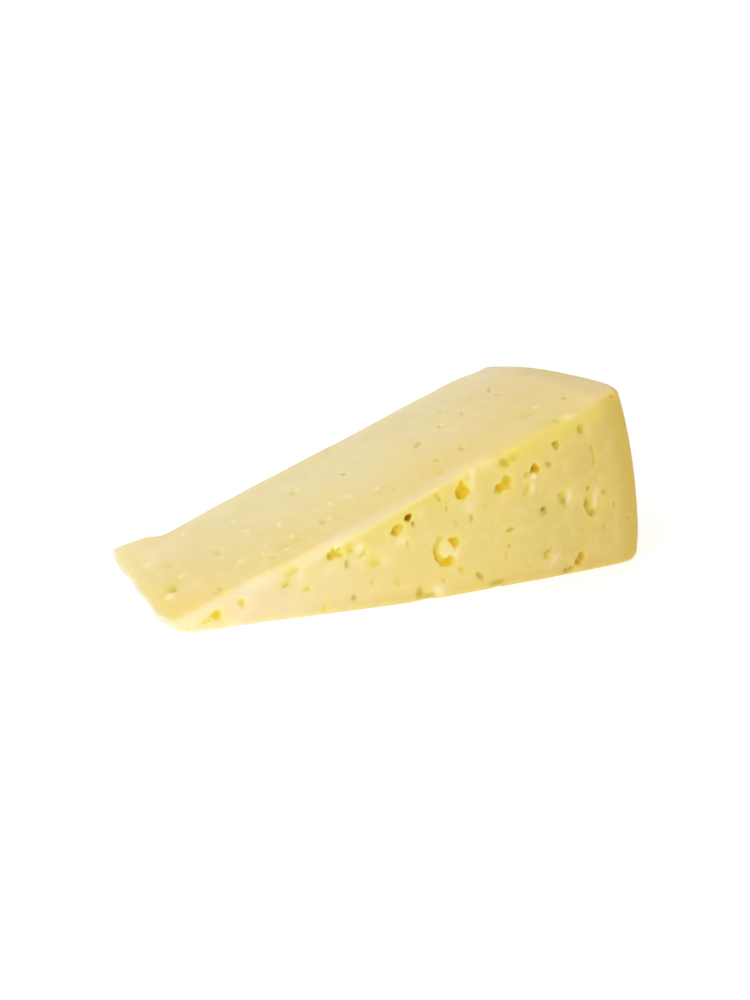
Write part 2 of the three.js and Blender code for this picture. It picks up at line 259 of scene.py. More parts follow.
# Eyes of the slope: distance from the wheel's axis, depth across, width, length, tilt, depth.
SLOPE_EYES = [
    (13.6, 24.0, 2.8, 5.4, 0, 0.40), (13.5, 22.9, 1.0, 1.5, 0, 0.85),
    (17.9, 43.0, 1.1, 4.6, 22, 0.85), (17.2, 44.5, 2.6, 6.0, 22, 0.26),
    (23.8, 6.5, 1.5, 3.0, 0, 0.45), (22.6, 4.6, 2.2, 3.4, 0, 0.3), (32.0, 36.0, 2.4, 6.0, 5, 0.3),
    (31.5, 34.4, 1.1, 3.0, 5, 0.6), (60.8, 16.0, 1.5, 3.6, 0, 0.6),
    (64.8, 52.0, 1.3, 3.3, -10, 0.35), (81.6, 46.7, 1.3, 3.2, 0, 0.68),
    (84.5, 13.0, 1.3, 3.4, 0, 0.3), (105.6, 38.0, 1.5, 3.0, -35, 0.75),
    (107.4, 39.4, 1.6, 3.2, -30, 0.6), (118.5, 44.8, 1.3, 3.8, -15, 0.45),
    (128.9, 47.0, 0.8, 4.8, -22, 0.42), (145.7, 56.0, 0.9, 4.6, -30, 0.66),
    (127.1, 60.0, 0.9, 4.6, -15, 0.3), (103.0, 18.0, 1.7, 3.4, -10, 0.6),
    (111.8, 16.7, 1.2, 4.2, -8, 0.75), (136.5, 16.5, 2.8, 3.6, -20, 0.26),
    (137.5, 0.9, 1.9, 3.6, -10, 0.75), (150.0, 14.3, 1.1, 2.6, -20, 0.5),
    (98.5, 7.4, 1.4, 3.4, -10, 0.3), (144.0, 47.0, 1.2, 3.0, 0, 0.22),
    (47.5, 12.6, 1.0, 2.4, -20, 0.38), (51.4, 13.2, 0.9, 2.2, 0, 0.3),
    (41.8, 8.6, 0.9, 1.8, 0, 0.3),
]

# Flecks on the slope, where a shred of cheese stands up, painted pale as a highlight that catches
# the light: place and size.
SLOPE_FLECKS = [
    (11.4, 18.8, 2.0, 2.6), (18.0, 30.0, 1.0, 2.6), (15.6, 58.8, 1.0, 2.2), (12.8, 53.4, 1.2, 2.8),
    (43.0, 40.0, 1.6, 2.8), (43.6, 53.6, 1.2, 2.4), (51.6, 31.0, 1.2, 3.6), (46.4, 10.0, 0.9, 1.8),
    (40.4, 14.6, 0.9, 2.0), (34.2, 18.0, 1.6, 2.4), (51.0, 17.2, 1.2, 2.6), (74.2, 25.6, 1.2, 3.4),
    (68.4, 27.0, 1.1, 2.2), (72.2, 27.6, 1.0, 2.0), (63.4, 16.4, 0.8, 2.2), (82.0, 20.0, 1.4, 2.2),
    (28.4, 66.0, 1.4, 2.6), (141.6, 18.0, 1.4, 2.4), (66.8, 53.0, 0.9, 2.4),
    (120.0, 45.6, 0.8, 2.0),
]
FLECK_HEIGHT = 0.18
FLECK_TILT = 20.0
FLECK_JOIN = 0.5
FLECK_SEED = 5

# Eyes and flecks are lens-shaped: how deep the lens sinks as a share of its depth, how uneven it
# is and how softly it joins, the waves that make it uneven, and the room kept around it.
EYE_LENS = (0.1, 0.16, 0.5)
FLECK_LENS = (0.0, 0.2, 0.3)
LENS_WAVES = (2.6, 5.2)
LENS_TWIST = 0.6
LENS_ROOM = (0.6, 2.5)
TINY = 1e-6

# The base and the far face have eyes of the same kind, strewn by the seeded rule of the part's
# source, and fine ones besides.
STREWN_SEED = 41
FAR_COUNT = 18
BASE_COUNT = 9
FAR_GAP = 8.0
BASE_GAP = 20.0
STREWN_WIDTH = (1.3, 3.6)
STREWN_STRETCH = (0.8, 1.9)
STREWN_DEPTH = (0.4, 0.9)
STREWN_MARGIN = 6.0
FAR_HEIGHTS = (0.2, 0.82)
FINE_SEED = 7
FINE_COUNTS = {"far": 44, "base": 40}
FINE_WIDTH = (0.6, 1.5)
FINE_STRETCH = (0.8, 2.4)
FINE_DEPTH = (0.3, 1.1)
MOST_TILT = 60.0

# Soft patches of another tint on a face: place, half sizes, tilt in degrees and strength. They
# reach a little way in.
PATCHES = {
    # Pale: partly the cheese's own pale spots, partly painted highlights on the lit sides of dents,
    # lips and corners.
    "pale": {
        "near": [
            (61.2, 17.2, 0.8, 0.9, 0, 0.95), (60.6, 16.0, 1.3, 2.4, 0, 0.7),
            (8.0, 1.6, 4.6, 2.8, 0, 0.45), (31.0, 10.3, 4.5, 1.5, 18, 0.4),
            (26.0, 3.5, 3.0, 1.5, 0, 0.4), (43.2, 10.7, 1.2, 2.2, 0, 0.5),
            (88.2, 13.6, 1.8, 2.0, 0, 0.35), (91.0, 12.2, 1.6, 1.5, 0, 0.45),
            (103.8, 37.2, 3.2, 2.2, 20, 0.35), (98.9, 33.5, 1.0, 3.2, 0, 0.65),
            (118.9, 31.9, 0.8, 0.6, 0, 0.9), (118.4, 28.5, 0.7, 2.0, -10, 0.5),
            (131.3, 23.9, 1.1, 2.4, 0, 0.7), (141.3, 21.9, 1.2, 3.8, 0, 0.7),
            (138.4, 44.2, 1.1, 1.8, 0, 0.3), (131.3, 49.3, 2.0, 1.2, 0, 0.6),
            (83.8, 2.2, 2.2, 1.7, 0, 0.9), (124.9, 6.4, 0.9, 1.2, 0, 0.6),
            (73.8, 17.8, 1.8, 1.2, 0, 0.5), (69.0, 20.3, 0.5, 0.6, 0, 0.7),
            (52.0, 12.9, 3.0, 1.4, 0, 0.4), (97.0, 24.5, 2.0, 3.0, 0, 0.3),
            (22.5, 1.4, 2.4, 1.2, 0, 0.5), (56.0, 19.6, 2.4, 0.9, 20, 0.4),
            (80.6, 24.6, 1.6, 1.2, 0, 0.35), (68.0, 13.0, 2.2, 2.0, 0, 0.25),
            (92.0, 27.0, 1.0, 1.2, 0, 0.2),
        ],
        "slope": [
            (160.0, 76.0, 8.0, 14.0, 0, 0.45),
        ],
    },
    # Dark: painted shade, brown, deep inside some eyes.
    "dark": {
        "near": [
            (76.6, 24.1, 1.8, 1.6, 0, 0.74), (119.4, 34.1, 1.6, 1.4, 0, 0.36),
            (107.0, 29.0, 1.6, 1.4, 0, 0.22), (93.9, 28.6, 1.4, 2.0, 0, 0.15),
            (71.6, 20.8, 1.0, 1.6, 0, 0.30), (84.2, 12.0, 0.7, 3.0, 0, 0.20),
            (126.5, 41.0, 1.2, 1.4, 0, 0.16),
        ],
    },
    # Warm: the cheese's own yellower tone, and in a few eyes painted light that lifts their shade.
    "warm": {
        "near": [
            (127.8, 48.0, 2.2, 1.2, -10, 0.8), (135.8, 44.9, 1.6, 1.8, 0, 0.35),
            (106.8, 29.0, 1.5, 1.3, 0, 0.8), (22.0, 4.4, 2.4, 1.6, 0, 0.9),
            (64.8, 13.6, 2.2, 1.8, 0, 0.8), (88.4, 9.8, 1.6, 1.0, 0, 0.6),
            (109.6, 28.6, 2.4, 1.6, 0, 0.5), (74.0, 20.4, 2.4, 2.4, 0, 0.4),
            (77.0, 23.6, 2.0, 2.0, 0, 0.4),
        ],
        "slope": [
            (15.0, 7.5, 5.0, 4.0, 0, 0.9), (100.0, 16.0, 24.0, 10.0, 0, 0.70),
            (12.0, 3.0, 5.0, 2.5, 0, 0.6), (13.8, 24.8, 1.8, 3.0, 0, 0.9),
        ],
    },
    "green": {
        "near": [
            (57.6, 18.2, 1.2, 2.4, 0, 0.8), (73.0, 23.8, 5.0, 1.2, 18, 0.5),
            (109.6, 37.0, 2.6, 2.0, 20, 0.8), (116.2, 28.0, 1.2, 2.4, -25, 0.6),
            (17.2, 3.4, 2.6, 1.5, 20, 0.8), (33.3, 6.8, 0.7, 2.8, 0, 0.7),
            (39.4, 10.9, 1.7, 3.4, -20, 0.8), (41.2, 12.8, 2.2, 1.2, 10, 0.6),
            (25.7, 6.0, 1.5, 1.2, 0, 0.6), (129.0, 24.0, 1.9, 2.2, 0, 0.7),
            (128.0, 47.8, 2.2, 1.5, 0, 0.6), (100.0, 3.0, 8.0, 3.5, 0, 0.5),
            (80.0, 2.6, 4.0, 2.2, 0, 0.4), (115.8, 39.4, 4.0, 2.2, 20, 0.8),
            (107.4, 38.2, 1.8, 1.3, 20, 0.9), (44.0, 8.0, 2.2, 2.0, 0, 0.5),
            (104.0, 19.0, 2.4, 2.4, 0, 0.4), (116.0, 35.4, 1.4, 1.6, 0, 0.4),
            (97.3, 21.6, 0.9, 1.4, 0, 0.8),
        ],
        "slope": [
            (8.6, 4.0, 2.2, 3.0, 0, 0.9), (12.0, 26.0, 4.0, 9.0, 0, 0.7),
            (25.0, 70.0, 9.0, 5.0, -10, 0.5), (31.0, 34.8, 1.6, 3.2, 0, 0.7),
            (13.8, 24.2, 1.5, 2.6, 0, 0.9), (14.0, 24.4, 2.0, 3.0, 0, 0.8),
            (17.5, 43.5, 2.0, 3.5, 0, 0.4), (9.0, 50.0, 2.5, 26.0, 0, 0.45),
            (137.5, 1.4, 1.8, 3.0, -10, 0.7), (136.0, 2.2, 5.5, 3.5, 0, 0.8),
            (8.4, 10.0, 2.0, 9.0, 0, 0.5),
        ],
    },
    # Olive: the eyes' own tint, and partly painted shade in their hollows, most on the base edge.
    "olive": {
        "near": [
            (135.8, 44.9, 1.4, 1.6, 0, 0.50), (107.2, 38.7, 3.2, 1.1, 20, 0.20),
            (129.8, 1.4, 2.2, 1.2, 10, 0.90), (121.8, 21.5, 1.2, 1.2, 0, 0.60),
            (109.9, 31.4, 1.4, 1.6, 0, 0.30), (109.2, 37.0, 1.5, 1.2, 0, 0.20),
            (52.4, 15.8, 1.1, 1.1, 0, 0.30), (98.3, 4.3, 1.2, 1.2, 0, 0.30),
            (104.2, 1.4, 2.6, 1.0, 5, 1.00), (80.6, 1.0, 2.8, 1.1, 0, 0.95),
            (57.6, 3.7, 0.8, 0.8, 0, 0.20), (127.0, 41.0, 1.2, 1.2, 0, 0.50),
            (135.2, 4.6, 1.4, 2.0, -30, 0.60), (138.3, 20.8, 1.1, 2.4, 15, 0.80),
            (140.4, 18.4, 1.2, 1.0, 0, 0.70), (129.4, 23.4, 1.4, 1.6, 0, 0.60),
            (139.8, 38.6, 0.7, 1.2, 0, 0.40), (124.2, 35.0, 1.1, 0.9, 0, 0.40),
            (77.9, 2.2, 1.3, 1.8, 0, 0.80), (129.8, 1.2, 1.7, 1.0, 0, 0.80),
            (103.8, 1.3, 2.4, 0.9, 0, 0.60), (98.2, 4.2, 1.1, 1.0, 0, 0.40),
            (57.6, 3.7, 0.8, 0.8, 0, 0.60), (121.8, 21.5, 1.2, 1.1, 0, 0.40),
            (109.0, 36.9, 1.4, 1.1, 0, 0.40), (121.6, 8.4, 1.0, 1.3, 0, 0.40),
            (138.4, 26.2, 0.9, 0.7, 0, 0.50), (144.4, 24.3, 0.9, 0.7, 0, 0.40),
            (148.6, 19.9, 0.6, 1.0, 0, 0.40), (56.7, 13.0, 0.6, 1.1, 0, 0.60),
            (97.3, 21.6, 0.8, 1.2, 0, 0.30), (109.6, 16.6, 1.3, 0.6, 0, 0.40),
            (147.3, 54.0, 0.9, 0.7, 0, 0.70), (140.4, 34.9, 0.5, 2.0, 0, 0.45),
            (134.2, 3.6, 1.1, 1.2, 0, 0.70), (77.9, 22.2, 0.6, 0.9, 0, 0.60),
        ],
        "slope": [
            (13.6, 23.4, 1.2, 2.2, 0, 0.5),
        ],
    },
}
PATCH_DEPTH = 4.0


def lerp(a, b, t):
    return a + (b - a) * t


def smoothstep(low, high, value):
    t = np.clip((value - low) / (high - low), 0.0, 1.0)
    return t * t * (3.0 - 2.0 * t)


# ----------------------------
# The faces of the wedge, in the wheel's frame.

def follow(line, place, smoothing):
    """The offset that a line gives at a place, with its bends eased."""
    places, offsets = zip(*line)
    shifts = [place + smoothing * shift for shift in LINE_SHIFTS]
    return sum(np.interp(shifted, places, offsets) for shifted in shifts) / len(shifts)


def near_y(distance, share):
    foot = follow(NEAR_FOOT, distance, FACE_SMOOTHING)
    top = follow(NEAR_TOP, distance, FACE_SMOOTHING)
    return lerp(foot, top, share)


def far_y(distance, share):
    t = np.clip(distance / RIM_RADIUS, 0.0, 1.0)
    reach = EAR_REACH - EAR_TAPER * (distance - EAR_START)
    ear = reach * (1.0 - smoothstep(*EAR_STEP, distance))
    belly = 4.0 * t * (1.0 - t) * FAR_BELLY * np.sin(math.pi * np.clip(share, 0.0, 1.0))
    return follow(FAR_LINE, distance, FACE_SMOOTHING) + ear + belly


def rim_radius(across):
    return RIM_RADIUS + RIM_BULGE * (1.0 - np.abs(2.0 * across - 1.0) ** RIM_FULLNESS)


# ----------------------------
# Smooth noise and rounded joins on the grid.

def spline_weights(places, spacing):
    """Weights of a smooth curve through random knots, one row for each place."""
    t = (places - places[0]) / spacing
    knots = int(math.ceil(t[-1])) + 4
    offset = t[:, None] - (np.arange(knots)[None, :] - 1.0)
    reach = np.abs(offset)
    near = 2.0 / 3.0 - reach ** 2 + reach ** 3 / 2.0
    far = (2.0 - reach) ** 3 / 6.0
    return np.where(reach < 1.0, near, np.where(reach < 2.0, far, 0.0)).astype(np.float32)


def noise(rng, spacing, *axes):
    """Smooth random values, about -1 to 1, over the grid of the given axes."""
    spacings = np.broadcast_to(spacing, len(axes))
    weights = [spline_weights(a.ravel(), s) for a, s in zip(axes, spacings)]
    field = rng.uniform(-1.0, 1.0, [w.shape[1] for w in weights]).astype(np.float32)
    for w in weights:
        field = np.tensordot(field, w, axes=(0, 1))
    return field * NOISE_GAIN


def waves(rng, kinds, *axes):
    return sum(height * noise(rng, spacing, *axes) for height, spacing in kinds)


def round_max(a, b, radius):
    """The part inside both, with the edge between them rounded."""
    corner = np.hypot(np.maximum(a + radius, 0.0), np.maximum(b + radius, 0.0))
    return np.minimum(np.maximum(a, b), -radius) + corner


def smooth_max(a, b, reach):
    h = np.maximum(reach - np.abs(a - b), 0.0) / reach
    return np.maximum(a, b) + h * h * reach * 0.25


def smooth_min(a, b, reach):
    return -smooth_max(-a, -b, reach)


def grid_axes():
    axes = [np.arange(lo, hi, STEP, dtype=np.float32) for lo, hi in zip(GRID_LOW, GRID_HIGH)]
    return axes[0][:, None, None], axes[1][None, :, None], axes[2][None, None, :]


def crease_bevel(radius, near, slope):
    """Distance to the bevel, from the distances to the two faces that it joins."""
    places, on_slope, on_near = zip(*CREASE_BEVEL)
    on_slope = np.interp(radius, places, on_slope)
    on_near = np.interp(radius, places, on_near)
    return (near / on_slope + slope / on_near + 1.0) / np.hypot(1.0 / on_slope, 1.0 / on_near)


def crease_band(radius, inset, drop):
    """Strength of the pale band, from 0 to 1."""
    places, low, high, strength = zip(*CREASE_BAND)
    low = np.interp(radius, places, low)
    high = np.interp(radius, places, high)
    turn = inset - drop
    band = smoothstep(low - BAND_SOFT, low + BAND_SOFT, turn)
    band = band * (1.0 - smoothstep(high - BAND_SOFT, high + BAND_SOFT, turn))
    fade = smoothstep(*BAND_FADE, np.minimum(inset, drop))
    return band * np.interp(radius, places, strength) * fade


def body_field(x, y, z, rng):
    """Distances to the wedge's skin before any eye is taken out, and to two of its faces.

    They are negative inside.
    """
    radius = np.hypot(x, z)
    share = np.clip(np.arctan2(z, np.maximum(x, 0.1)) / CUT_ANGLE, -0.1, 1.1)
    across = np.clip(y / DEPTH_AT_RIM, 0.0, 1.0)
    steady = smoothstep(*WAVES_START, x)
    thin = np.minimum(TIP_ROUND, THIN_SHARE * CUT_ANGLE * radius)

    near_waves = waves(rng, NEAR_WAVES, x, z)[:, None, :]
    near = near_y(radius, share) + near_waves * steady - y
    far_waves = waves(rng, FAR_WAVES, x, z)[:, None, :]
    far = y - far_y(radius, share) + far_waves * steady
    tip = follow(TIP_LINE, y, TIP_SMOOTHING) - radius
    sides = round_max(round_max(tip, near, NEAR_TIP_ROUND), far, FAR_TIP_ROUND)

    slope_waves = waves(rng, SLOPE_WAVES, x, y)[:, :, None]
    slope = -x * math.sin(CUT_ANGLE) + z * math.cos(CUT_ANGLE) + slope_waves * steady
    at_rim = smoothstep(CORNER_START, RIM_RADIUS, radius)
    slope = slope - follow(CORNER_RISE, y, TIP_SMOOTHING) * at_rim

    tuck, tuck_height = RIM_TUCK
    out, out_end, out_full = RIM_OUT
    rim = radius - rim_radius(across) - RIM_LEAN * share
    rim = rim + tuck * (1.0 - smoothstep(0.0, tuck_height, z))
    rim = rim - out * smoothstep(out_end, out_full, y)
    for height, spacing in RIM_WAVES:
        rim = rim + height * noise(rng, spacing, y, z)[0]

    base_bend, near_bend, top_bend = RIM_ROUND
    bend = lerp(near_bend, top_bend, smoothstep(*RIM_ROUND_ACROSS, across))
    bend = lerp(base_bend, bend, smoothstep(*RIM_ROUND_UP, share))
    caps = round_max(np.maximum(-z + 0.0 * x, slope), rim, bend)

    near_edge = lerp(*NEAR_ROUND, smoothstep(*NEAR_ROUND_ALONG, rim))
    far_edge = lerp(*FAR_ROUND, smoothstep(*FAR_ROUND_ALONG, rim))
    edge = lerp(near_edge, far_edge, smoothstep(*SIDES_ACROSS, across))
    field = round_max(caps, sides, np.minimum(edge, thin * edge / TIP_ROUND))

    field = smooth_max(field, crease_bevel(radius, near, slope), BEVEL_EDGE)
    for side, soft in ((near, CORNER_SOFT), (far, FAR_CORNER_SOFT)):
        field = smooth_max(field, (side + slope + rim) / math.sqrt(3.0), soft)
    return field.astype(np.float32), near.astype(np.float32), slope.astype(np.float32)


# ----------------------------
# Eyes. A face is a frame: where a place on it lies, its two directions and its outward normal.

X_AXIS = np.array((1.0, 0.0, 0.0))
Y_AXIS = np.array((0.0, 1.0, 0.0))
Z_AXIS = np.array((0.0, 0.0, 1.0))
UPHILL = np.array((math.cos(CUT_ANGLE), 0.0, math.sin(CUT_ANGLE)))
SLOPE_OUT = np.array((-math.sin(CUT_ANGLE), 0.0, math.cos(CUT_ANGLE)))


def near_at(x, z):
    return np.array((x, near_y(math.hypot(x, z), math.atan2(z, x) / CUT_ANGLE), z))


def far_at(x, z):
    return np.array((x, far_y(math.hypot(x, z), math.atan2(z, x) / CUT_ANGLE), z))


FACES = {
    "near": (near_at, X_AXIS, Z_AXIS, -Y_AXIS),
    "far": (far_at, -X_AXIS, Z_AXIS, Y_AXIS),
    "slope": (lambda s, y: UPHILL * s + Y_AXIS * y, UPHILL, Y_AXIS, SLOPE_OUT),
    "base": (lambda x, y: np.array((x, y, 0.0)), X_AXIS, -Y_AXIS, -Z_AXIS),
}


def random_from(seed):
    """The same repeatable random numbers as in the part's source."""
    state = seed

    def draw():
        nonlocal state
        state = (state + 0x6D2B79F5) & 0xFFFFFFFF
        t = ((state ^ (state >> 15)) * (1 | state)) & 0xFFFFFFFF
        t = ((t + (((t ^ (t >> 7)) * (61 | t)) & 0xFFFFFFFF)) & 0xFFFFFFFF) ^ t
        return (t ^ (t >> 14)) / 4294967296

    return draw


def strewn_eyes(count, gap, random, place):
    eyes = []
    while len(eyes) < count:
        u, v = place(random(), random())
        width = lerp(*STREWN_WIDTH, random() ** 2)
        height = width * lerp(*STREWN_STRETCH, random())
        tilt = lerp(-MOST_TILT, MOST_TILT, random())
        if all(math.hypot(e[0] - u, e[1] - v) > gap for e in eyes):
            eyes.append((u, v, width, height, tilt, width * lerp(*STREWN_DEPTH, random())))
    return eyes


def far_place(a, b):
    x = lerp(3 * STREWN_MARGIN, RIM_RADIUS - 2 * STREWN_MARGIN, math.sqrt(a))
    top = x * math.tan(CUT_ANGLE)
    low, high = FAR_HEIGHTS
    return x, lerp(low * top, high * top, b)


def base_place(a, b):
    x = lerp(4 * STREWN_MARGIN, RIM_RADIUS - 2 * STREWN_MARGIN, a)
    return x, lerp(STREWN_MARGIN, far_y(x, 0) - 2 * STREWN_MARGIN, b)


def fine_eyes(face, rng):
    place = far_place if face == "far" else base_place
    eyes = []
    for _ in range(FINE_COUNTS[face]):
        u, v = place(rng.random(), rng.random())
        width = lerp(*FINE_WIDTH, rng.random() ** 2)
        depth = width * rng.uniform(*FINE_DEPTH)
        height = width * rng.uniform(*FINE_STRETCH)
        eyes.append((u, v, width, height, rng.uniform(-MOST_TILT, MOST_TILT), depth))
    return eyes


def trough_eyes(x, z, radius_x, radius_z, first, last, widths, depths):
    eyes = []
    for t in np.linspace(0.0, 1.0, TROUGH_STEPS):
        angle = math.radians(lerp(first, last, t))
        along = math.atan2(radius_z * math.cos(angle), -radius_x * math.sin(angle))
        width = lerp(*widths, t)
        place = (x + radius_x * math.cos(angle), z + radius_z * math.sin(angle))
        size = (width * TROUGH_STRETCH, width)
        eyes.append((*place, *size, math.degrees(along), lerp(*depths, t)))
    return eyes


def window(centre, reach, axes):
    """Slices of the grid within reach of a point, and the offsets of their places from it."""
    cuts = []
    for k in range(3):
        first = int((centre[k] - reach - GRID_LOW[k]) / STEP)
        last = int((centre[k] + reach - GRID_LOW[k]) / STEP) + 2
        cuts.append(slice(max(first, 0), min(max(last, 0), axes[k].size)))
    x, y, z = (a.ravel()[c] - m for a, c, m in zip(axes, cuts, centre))
    return tuple(cuts), (x[:, None, None], y[None, :, None], z[None, None, :])


def lens_distance(offset, face, size, tilt, warp, rng):
    """Distance to an uneven ball squashed to the three sizes, lying in the face."""
    _, right, up, out = FACES[face]
    turn = math.radians(tilt)
    along = math.cos(turn) * right + math.sin(turn) * up
    beside = -math.sin(turn) * right + math.cos(turn) * up
    p = [sum(offset[k] * axis[k] for k in range(3)) for axis in (along, beside, out)]
    half = np.array((size[0] / 2, size[1] / 2, size[2]))
    q = [p[k] / half[k] for k in range(3)]
    slow, fast = LENS_WAVES
    phase = rng.uniform(0.0, 2.0 * math.pi, 6)
    bend = [warp * np.sin(slow * q[(k + 1) % 3] + phase[k]) for k in range(3)]
    twist = [warp * LENS_TWIST * np.sin(fast * q[(k + 2) % 3] + phase[k + 3]) for k in range(3)]
    q = [q[k] + bend[k] + twist[k] - warp * math.sin(phase[k]) for k in range(3)]
    inner = np.sqrt(q[0] ** 2 + q[1] ** 2 + q[2] ** 2) + TINY
    scaled = np.sqrt(sum((q[k] / half[k]) ** 2 for k in range(3))) + TINY
    return inner * (inner - 1.0) / scaled


def add_lens(field, face, spec, kind, axes, rng):
    """Joins one lens-shaped spot at a place of a face to the field."""
    u, v, width, height, tilt, depth = spec
    sink, warp, blend = kind
    at, _, _, out = FACES[face]
    span, margin = LENS_ROOM
    reach = max(width, height, 2 * depth) * span + margin
    cut, offset = window(at(u, v) - out * sink * depth, reach, axes)
    spot = lens_distance(offset, face, (width, height, depth), tilt, warp, rng)
    field[cut] = smooth_min(field[cut], spot.astype(np.float32), blend)


def add_cut(field, depth, corners, axes, rng):
    """Joins an angular eye of the near face to the field of hollows."""
    middle = np.mean(corners, axis=0)
    beside, beyond = CUT_MARGIN
    reach = max(math.dist(corner, middle) for corner in corners) + beside
    cut, (across, inward, up) = window(near_at(*middle), max(reach, depth + beyond), axes)
    phase = rng.uniform(0.0, 2.0 * math.pi, 4)
    (up_u, inward_u), (across_v, inward_v) = CUT_WAVES
    u = across + CUT_WARP * np.sin(up_u * up + inward_u * inward + phase[0])
    v = up + CUT_WARP * np.sin(across_v * across - inward_v * inward + phase[1])
    wall = None
    for first, second in zip(corners, corners[1:] + corners[:1]):
        run = math.dist(first, second)
        normal = ((second[1] - first[1]) / run, (first[0] - second[0]) / run)
        side = (u + middle[0] - first[0]) * normal[0] + (v + middle[1] - first[1]) * normal[1]
        wall = side if wall is None else smooth_max(wall, side, CUT_CORNER)
    share, on_u, on_v = CUT_FLOOR
    uneven = share * depth * np.sin(on_u * across + phase[2]) * np.sin(on_v * up + phase[3])
    wall = wall - CUT_REACH + CUT_DRAFT * inward / depth
    hole = smooth_max(wall, inward - depth - uneven, CUT_FLOOR_SOFT * depth)
    field[cut] = smooth_min(field[cut], hole.astype(np.float32), CUT_BLEND)


def empty_field(axes):
    return np.full([a.size for a in axes], EMPTY, dtype=np.float32)


def hollow_field(axes, rng):
    """Distance to the nearest eye; negative inside one."""
    random = random_from(STREWN_SEED)
    sets = {
        "near": list(NEAR_EYES),
        "slope": list(SLOPE_EYES),
        "far": strewn_eyes(FAR_COUNT, FAR_GAP, random, far_place),
        "base": strewn_eyes(BASE_COUNT, BASE_GAP, random, base_place),
    }
    for trough in NEAR_TROUGHS:
        sets["near"] += trough_eyes(*trough)
    for face in FINE_COUNTS:
        sets[face] += fine_eyes(face, rng)
    field = empty_field(axes)
    for face, eyes in sets.items():
        for spec in eyes:
            add_lens(field, face, spec, EYE_LENS, axes, rng)
    for depth, corners in NEAR_CUTS:
        add_cut(field, depth, corners, axes, rng)
    return field


def fleck_field(axes, rng):
    """Distance to the nearest fleck; negative inside one."""
    field = empty_field(axes)
    for u, v, width, length in SLOPE_FLECKS:
        spec = (u, v, width, length, rng.uniform(-FLECK_TILT, FLECK_TILT), FLECK_HEIGHT)
        add_lens(field, "slope", spec, FLECK_LENS, axes, rng)
    return field


# ----------------------------
# The mesh, with what the material needs to know at each point painted on it.

LIP_FADE = 0.9
FLECK_FADE = 0.5


def sample(field, points):
    """Values of the field at points, in millimetres, between the grid's own places."""
    t = (points - np.array(GRID_LOW)) / STEP
    i = np.clip(np.floor(t).astype(int), 0, np.array(field.shape) - 2)
    f = t - i
    total = np.zeros(len(points))
    for corner in np.ndindex(2, 2, 2):
        weight = np.prod(np.where(corner, f, 1.0 - f), axis=1)
        j = i + corner
        total += weight * field[j[:, 0], j[:, 1], j[:, 2]]
    return total


def skin_mesh(field):
    """Points, in millimetres, and faces of the surface where the field is 0."""
    grid = openvdb.FloatGrid(BAND)
    grid.copyFromArray(np.clip(field, -BAND, BAND), tolerance=0.0)
    points, triangles, quads = grid.convertToPolygons(isovalue=0.0, adaptivity=ADAPTIVITY)
    points = points.astype(float) * STEP + np.array(GRID_LOW)
    faces = [tuple(f[::-1]) for f in triangles.tolist() + quads.tolist()]
    return points, faces


def paint(mesh, name, values):
    layer = mesh.attributes.new(name, "FLOAT", "POINT")
    layer.data.foreach_set("value", np.asarray(values, dtype=np.float32))


def skin_normals(body, points):
    """Directions in which the uncut body rises fastest, one for each point."""
    steps = NORMAL_REACH * np.eye(3)
    rise = np.stack([sample(body, points + e) - sample(body, points - e) for e in steps], axis=1)
    return rise / np.linalg.norm(rise, axis=1)[:, None]


def patch_strength(points, patches):
    """How much each point lies in a set of soft patches, from 0 to 1."""
    left = np.ones(len(points))
    for face, spots in patches.items():
        at, right, up, out = FACES[face]
        for u, v, half_u, half_v, tilt, strength in spots:
            turn = math.radians(tilt)
            along = (math.cos(turn) * right + math.sin(turn) * up) / half_u
            beside = (math.cos(turn) * up - math.sin(turn) * right) / half_v
            offset = points - at(u, v)
            spread = (offset @ along) ** 2 + (offset @ beside) ** 2
            left *= 1.0 - strength * np.exp(-(spread + (offset @ out / PATCH_DEPTH) ** 2))
    return 1.0 - left


def make_cheese():
    axes = grid_axes()
    body, near, slope = body_field(*axes, np.random.default_rng(BODY_SEED))
    hollows = hollow_field(axes, np.random.default_rng(FINE_SEED))
    flecks = fleck_field(axes, np.random.default_rng(FLECK_SEED))
    raised = smooth_min(body, flecks, FLECK_JOIN)
    points, faces = skin_mesh(smooth_max(raised, -hollows, LIP_ROUND))

    mesh = bpy.data.meshes.new("cheese_skin")
    mesh.from_pydata(points * MM + np.array(SHIFT), [], faces)
    mesh.polygons.foreach_set("use_smooth", [True] * len(mesh.polygons))

    inset, drop = -sample(near, points), -sample(slope, points)
    radius = np.hypot(points[:, 0], points[:, 2])
    across = np.clip(points[:, 1] / DEPTH_AT_RIM, 0.0, 1.0)
    normals = skin_normals(body, points)
    paint(mesh, "pit", np.maximum(-sample(body, points), 0.0))
    paint(mesh, "lip", np.exp(-np.maximum(sample(hollows, points), 0.0) / LIP_FADE))
    paint(mesh, "fleck", np.clip(1.0 - sample(flecks, points) / FLECK_FADE, 0.0, 1.0))
    paint(mesh, "slope", np.clip(normals @ SLOPE_OUT, 0.0, 1.0) ** 2)
    paint(mesh, "rimward", np.clip(normals @ X_AXIS, 0.0, 1.0))
    paint(mesh, "inset", inset)
    paint(mesh, "drop", drop)
    paint(mesh, "band", crease_band(radius, inset, drop))
    paint(mesh, "height", points[:, 2])
    paint(mesh, "tip", radius - follow(TIP_LINE, points[:, 1], TIP_SMOOTHING))
    paint(mesh, "rim", radius - rim_radius(across))
    for name, patches in PATCHES.items():
        paint(mesh, name, patch_strength(points, patches))
    mesh.validate()

    piece = bpy.data.objects.new("cheese_wedge", mesh)
    bpy.context.collection.objects.link(piece)
    return piece


# ----------------------------
# Materials.

def srgb(r, g, b):
    """A colour given in 0 to 255 as Blender's linear colour."""
    linear = []
    for channel in (r, g, b):
        c = channel / 255.0
        linear.append(c / 12.92 if c <= 0.04045 else ((c + 0.055) / 1.055) ** 2.4)
    return (*linear, 1.0)
